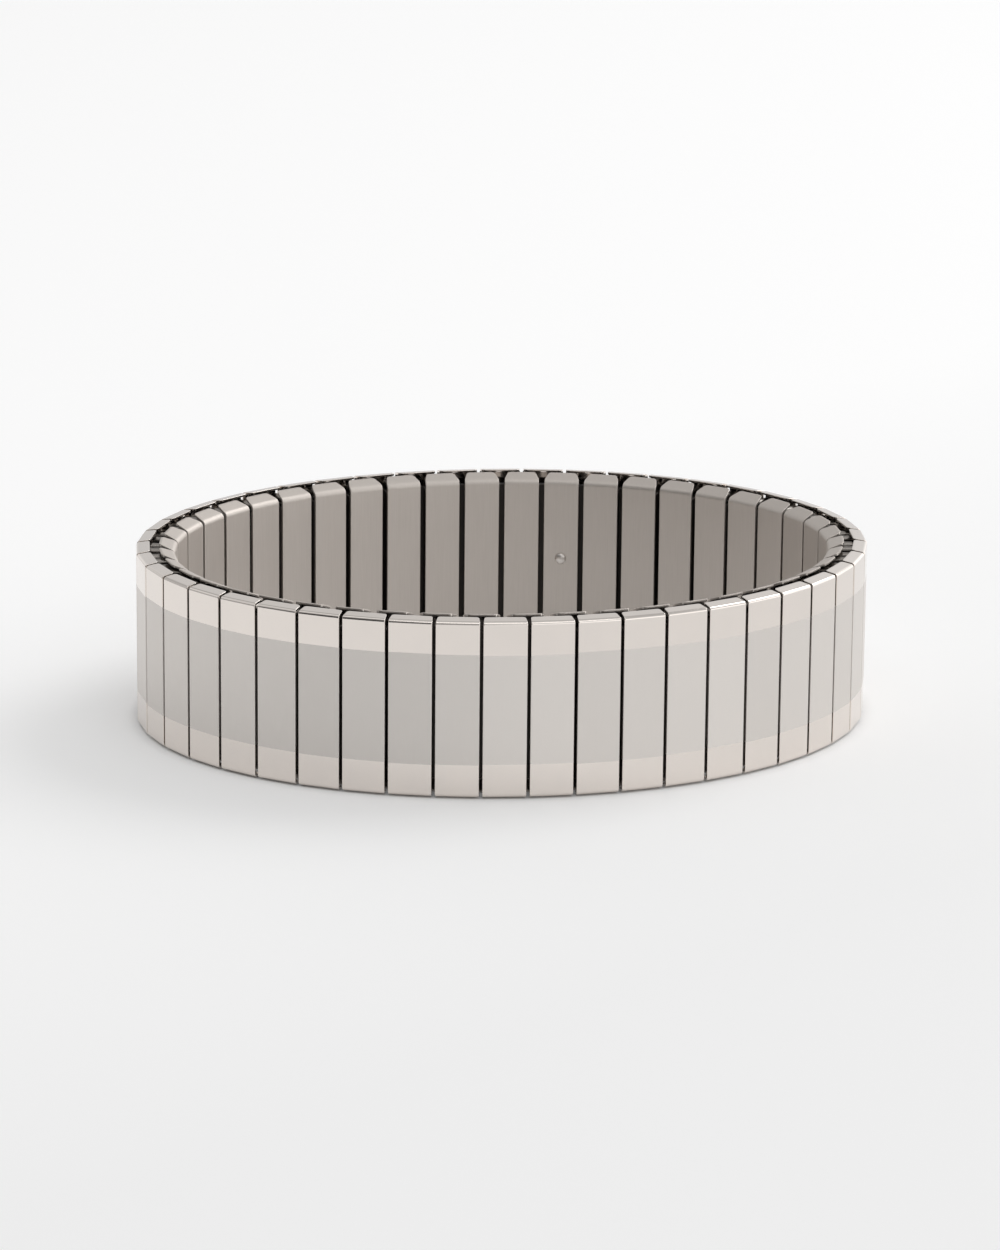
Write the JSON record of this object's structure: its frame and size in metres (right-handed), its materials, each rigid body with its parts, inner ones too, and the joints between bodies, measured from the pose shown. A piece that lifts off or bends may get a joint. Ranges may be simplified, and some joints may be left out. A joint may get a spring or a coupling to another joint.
{
  "type": "expansion watch band",
  "caption": "Closed oval expansion band of two staggered rows of steel sleeves joined by wire staples, with leaf springs inside.",
  "frame": {"origin": "under the oval's centre, in the plane of the lower edge that the band stands on", "axes": "+X along the oval's long way, +Y along its short way and away from the front, +Z across the band's width"},
  "size_m": [0.0592, 0.0482, 0.0143],
  "materials": {
    "outer_link_steel": "satin, with a polished band along each edge",
    "inner_link_steel": "satin",
    "staple_wire": "drawn wire, bright",
    "spring_strip": "rolled strip, blank"
  },
  "bodies": {
    "front_segment": {"outer_links_1": "outer_link_steel", "inner_links_1": "inner_link_steel", "leaf_springs_1": "spring_strip", "staples_1": "staple_wire"},
    "staple_pair_1": {"hinge_staples_1": "staple_wire"},
    "segment_2": {"outer_links_2": "outer_link_steel", "inner_links_2": "inner_link_steel", "leaf_springs_2": "spring_strip", "staples_2": "staple_wire"},
    "staple_pair_2": {"hinge_staples_2": "staple_wire"},
    "segment_3": {"outer_links_3": "outer_link_steel", "inner_links_3": "inner_link_steel", "leaf_springs_3": "spring_strip", "staples_3": "staple_wire"},
    "staple_pair_3": {"hinge_staples_3": "staple_wire"},
    "segment_4": {"outer_links_4": "outer_link_steel", "inner_links_4": "inner_link_steel", "leaf_springs_4": "spring_strip", "staples_4": "staple_wire"},
    "staple_pair_4": {"hinge_staples_4": "staple_wire"},
    "segment_5": {"outer_links_5": "outer_link_steel", "inner_links_5": "inner_link_steel", "leaf_springs_5": "spring_strip", "staples_5": "staple_wire", "closing_link": "inner_link_steel"},
    "staple_pair_5": {"hinge_staples_5": "staple_wire"},
    "segment_6": {"outer_links_6": "outer_link_steel", "inner_links_6": "inner_link_steel", "leaf_springs_6": "spring_strip", "staples_6": "staple_wire"},
    "staple_pair_6": {"hinge_staples_6": "staple_wire"},
    "segment_7": {"outer_links_7": "outer_link_steel", "inner_links_7": "inner_link_steel", "leaf_springs_7": "spring_strip", "staples_7": "staple_wire"},
    "staple_pair_7": {"hinge_staples_7": "staple_wire"},
    "segment_8": {"outer_links_8": "outer_link_steel", "inner_links_8": "inner_link_steel", "leaf_springs_8": "spring_strip", "staples_8": "staple_wire"},
    "staple_pair_8": {"hinge_staples_8": "staple_wire"},
    "segment_9": {"outer_links_9": "outer_link_steel", "inner_links_9": "inner_link_steel", "leaf_springs_9": "spring_strip", "staples_9": "staple_wire"},
    "staple_pair_9": {"hinge_staples_9": "staple_wire"},
    "segment_10": {"outer_links_10": "outer_link_steel", "inner_links_10": "inner_link_steel", "leaf_springs_10": "spring_strip", "staples_10": "staple_wire"},
    "staple_pair_10": {"hinge_staples_10": "staple_wire"}
  },
  "joints": [
    {"name": "stretch_2", "type": "slide", "parent": "front_segment", "child": "segment_2", "axis": [0.9578, 0.2873, 0], "range_m": [0, 0.00111], "stiffness_N_per_m": 2000, "springref_m": -0.0005},
    {"name": "stretch_3", "type": "slide", "parent": "segment_2", "child": "segment_3", "axis": [0.616, 0.7877, 0], "range_m": [0, 0.00111], "stiffness_N_per_m": 2000, "springref_m": -0.0005},
    {"name": "stretch_4", "type": "slide", "parent": "segment_3", "child": "segment_4", "axis": [-0.0234, 0.9997, 0], "range_m": [0, 0.00111], "stiffness_N_per_m": 2000, "springref_m": -0.0005},
    {"name": "stretch_5", "type": "slide", "parent": "segment_4", "child": "segment_5", "axis": [-0.7612, 0.6485, 0], "range_m": [0, 0.00111], "stiffness_N_per_m": 2000, "springref_m": -0.0005},
    {"name": "stretch_10", "type": "slide", "parent": "front_segment", "child": "segment_10", "axis": [-0.9751, 0.2218, 0], "range_m": [0, 0.00111], "stiffness_N_per_m": 2000, "springref_m": -0.0005},
    {"name": "stretch_9", "type": "slide", "parent": "segment_10", "child": "segment_9", "axis": [-0.7613, 0.6484, 0], "range_m": [0, 0.00111], "stiffness_N_per_m": 2000, "springref_m": -0.0005},
    {"name": "stretch_8", "type": "slide", "parent": "segment_9", "child": "segment_8", "axis": [-0.0235, 0.9997, 0], "range_m": [0, 0.00111], "stiffness_N_per_m": 2000, "springref_m": -0.0005},
    {"name": "stretch_7", "type": "slide", "parent": "segment_8", "child": "segment_7", "axis": [0.616, 0.7878, 0], "range_m": [0, 0.00111], "stiffness_N_per_m": 2000, "springref_m": -0.0005},
    {"name": "stretch_6", "type": "slide", "parent": "segment_7", "child": "segment_6", "axis": [0.9579, 0.2872, 0], "range_m": [0, 0.00111], "stiffness_N_per_m": 2000, "springref_m": -0.0005},
    {"name": "staple_tilt_1", "type": "hinge", "parent": "front_segment", "child": "staple_pair_1", "pos_m": [0.00911, -0.02021, 0.00715], "axis": [0, 0, 1], "range_deg": [0, 32.5], "deforming": ["leaf_springs_2"]},
    {"name": "staple_tilt_2", "type": "hinge", "parent": "segment_2", "child": "staple_pair_2", "pos_m": [0.02293, -0.01125, 0.00715], "axis": [0, 0, 1], "range_deg": [0, 32.5], "deforming": ["leaf_springs_3"]},
    {"name": "staple_tilt_3", "type": "hinge", "parent": "segment_3", "child": "staple_pair_3", "pos_m": [0.02692, 0.00071, 0.00715], "axis": [0, 0, 1], "range_deg": [0, 32.5], "deforming": ["leaf_springs_4"]},
    {"name": "staple_tilt_4", "type": "hinge", "parent": "segment_4", "child": "staple_pair_4", "pos_m": [0.01966, 0.01466, 0.00715], "axis": [0, 0, 1], "range_deg": [0, 32.5], "deforming": ["leaf_springs_5"]},
    {"name": "staple_tilt_5", "type": "hinge", "parent": "segment_5", "child": "staple_pair_5", "pos_m": [0.00772, 0.02057, 0.00715], "axis": [0, 0, 1], "range_deg": [0, 32.5], "deforming": ["leaf_springs_6"]},
    {"name": "staple_tilt_6", "type": "hinge", "parent": "segment_6", "child": "staple_pair_6", "pos_m": [-0.00911, 0.02021, 0.00715], "axis": [0, 0, 1], "range_deg": [0, 32.5], "deforming": ["leaf_springs_7"]},
    {"name": "staple_tilt_7", "type": "hinge", "parent": "segment_7", "child": "staple_pair_7", "pos_m": [-0.02292, 0.01125, 0.00715], "axis": [0, 0, 1], "range_deg": [0, 32.5], "deforming": ["leaf_springs_8"]},
    {"name": "staple_tilt_8", "type": "hinge", "parent": "segment_8", "child": "staple_pair_8", "pos_m": [-0.02692, -0.00072, 0.00715], "axis": [0, 0, 1], "range_deg": [0, 32.5], "deforming": ["leaf_springs_9"]},
    {"name": "staple_tilt_9", "type": "hinge", "parent": "segment_9", "child": "staple_pair_9", "pos_m": [-0.01966, -0.01466, 0.00715], "axis": [0, 0, 1], "range_deg": [0, 32.5], "deforming": ["leaf_springs_10"]},
    {"name": "staple_tilt_10", "type": "hinge", "parent": "segment_10", "child": "staple_pair_10", "pos_m": [-0.00772, -0.02057, 0.00715], "axis": [0, 0, 1], "range_deg": [0, 32.5], "deforming": ["leaf_springs_1"]}
  ],
  "couplings": [
    {"joint": "stretch_3", "follows": "stretch_2", "ratio": 1},
    {"joint": "stretch_4", "follows": "stretch_2", "ratio": 1},
    {"joint": "stretch_5", "follows": "stretch_2", "ratio": 1},
    {"joint": "stretch_10", "follows": "stretch_2", "ratio": 1},
    {"joint": "stretch_9", "follows": "stretch_2", "ratio": 1},
    {"joint": "stretch_8", "follows": "stretch_2", "ratio": 1},
    {"joint": "stretch_7", "follows": "stretch_2", "ratio": 1},
    {"joint": "stretch_6", "follows": "stretch_2", "ratio": 1},
    {"joint": "staple_tilt_1", "follows": "stretch_2", "rad_per_m": 510.1},
    {"joint": "staple_tilt_2", "follows": "stretch_2", "rad_per_m": 510.1},
    {"joint": "staple_tilt_3", "follows": "stretch_2", "rad_per_m": 510.1},
    {"joint": "staple_tilt_4", "follows": "stretch_2", "rad_per_m": 510.1},
    {"joint": "staple_tilt_5", "follows": "stretch_2", "rad_per_m": 510.1},
    {"joint": "staple_tilt_6", "follows": "stretch_2", "rad_per_m": 510.1},
    {"joint": "staple_tilt_7", "follows": "stretch_2", "rad_per_m": 510.1},
    {"joint": "staple_tilt_8", "follows": "stretch_2", "rad_per_m": 510.1},
    {"joint": "staple_tilt_9", "follows": "stretch_2", "rad_per_m": 510.1},
    {"joint": "staple_tilt_10", "follows": "stretch_2", "rad_per_m": 510.1}
  ]
}
